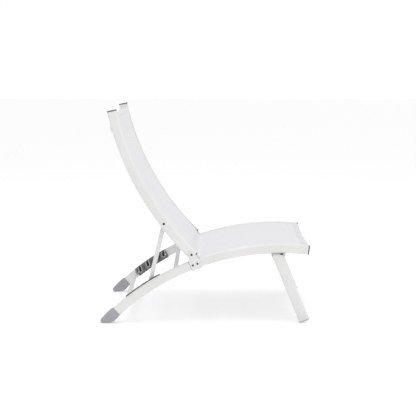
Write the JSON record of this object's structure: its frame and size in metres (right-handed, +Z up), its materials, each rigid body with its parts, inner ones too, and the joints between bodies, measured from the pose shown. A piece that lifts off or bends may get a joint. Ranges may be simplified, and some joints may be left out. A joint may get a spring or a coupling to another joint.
{
  "type": "reclining sun lounger",
  "caption": "Low folding sun lounger: arched tube frame, white mesh sling, backrest propped in toothed racks, fold-under front legs.",
  "frame": {"origin": "on the ground, under the middle of the overall box", "axes": "+Z up, +X towards the seat's front edge, +Y towards the sitter's left"},
  "size_m": [0.9083, 0.605, 0.9255],
  "materials": {
    "white_coat": "white powder coat, satin",
    "sling_mesh": "coated yarn mesh, matt",
    "grey_plastic": "moulded, fine grain",
    "pale_grey_plastic": "moulded, fine grain",
    "dark_steel": "blackened fasteners",
    "bare_alloy": "bare, satin"
  },
  "bodies": {
    "frame": {"bracket_rivet_left_front": "dark_steel", "bracket_rivet_left_rear": "dark_steel", "bracket_rivet_right_front": "dark_steel", "bracket_rivet_right_rear": "dark_steel", "hinge_bracket_left": "white_coat", "hinge_bracket_right": "white_coat", "leg_bracket_left": "grey_plastic", "leg_bracket_right": "grey_plastic", "lower_stretcher": "white_coat", "rack_left": "grey_plastic", "rack_right": "grey_plastic", "rack_screw_left_high": "dark_steel", "rack_screw_left_low": "dark_steel", "rack_screw_right_high": "dark_steel", "rack_screw_right_low": "dark_steel", "rail_joiner_left": "bare_alloy", "rail_joiner_right": "bare_alloy", "rear_foot_cap_left": "pale_grey_plastic", "rear_foot_cap_right": "pale_grey_plastic", "rear_leg_left": "white_coat", "rear_leg_right": "white_coat", "seat_end_cap_left": "grey_plastic", "seat_end_cap_right": "grey_plastic", "seat_rail_left": "white_coat", "seat_rail_right": "white_coat", "seat_sling": "sling_mesh", "seat_stretcher": "white_coat", "upper_stretcher": "white_coat"},
    "hinge_pins": {"hinge_bolt_left": "dark_steel", "hinge_bolt_right": "dark_steel", "hinge_nut_left": "bare_alloy", "hinge_nut_right": "bare_alloy"},
    "backrest": {"backrest_low_cap_left": "grey_plastic", "backrest_low_cap_right": "grey_plastic", "backrest_rail_left": "white_coat", "backrest_rail_right": "white_coat", "backrest_sling": "sling_mesh", "backrest_top_cap_left": "grey_plastic", "backrest_top_cap_right": "grey_plastic", "top_stretcher": "white_coat"},
    "prop_pins": {"prop_bolt_left": "dark_steel", "prop_bolt_right": "dark_steel", "prop_nut_left": "bare_alloy", "prop_nut_right": "bare_alloy"},
    "prop": {"foot_bar": "bare_alloy", "foot_button_left": "grey_plastic", "foot_button_right": "grey_plastic", "prop_spacer_left": "grey_plastic", "prop_spacer_right": "grey_plastic", "prop_strut_left": "white_coat", "prop_strut_right": "white_coat"},
    "front_legs": {"front_crossbar": "white_coat", "front_foot_plug_left": "white_coat", "front_foot_plug_right": "white_coat", "front_leg_head_left": "grey_plastic", "front_leg_head_right": "grey_plastic", "front_leg_left": "white_coat", "front_leg_right": "white_coat", "leg_pin_left": "dark_steel", "leg_pin_right": "dark_steel"}
  },
  "joints": [
    {"name": "backrest_recline", "type": "hinge", "parent": "frame", "child": "hinge_pins", "pos_m": [-0.05646, 0, 0.30369], "axis": [0, 1, 0], "range_deg": [-24.5, 14]},
    {"name": "backrest_fold", "type": "hinge", "parent": "hinge_pins", "child": "backrest", "pos_m": [-0.05646, 0, 0.30369], "axis": [0, 1, 0], "range_deg": [0, 100]},
    {"name": "prop_recline", "type": "hinge", "parent": "backrest", "child": "prop_pins", "pos_m": [-0.17462, 0, 0.43763], "axis": [0, 1, 0], "range_deg": [-17, 29.5]},
    {"name": "prop_fold", "type": "hinge", "parent": "prop_pins", "child": "prop", "pos_m": [-0.17462, 0, 0.43763], "axis": [0, 1, 0], "range_deg": [-37, 1]},
    {"name": "front_legs_fold", "type": "hinge", "parent": "frame", "child": "front_legs", "pos_m": [0.299, 0, 0.29384], "axis": [0, 1, 0], "range_deg": [0, 100]}
  ],
  "couplings": [
    {"joint": "prop_recline", "follows": "backrest_recline", "ratio": -1.17},
    {"joint": "prop_fold", "follows": "backrest_fold", "ratio": -0.36}
  ]
}
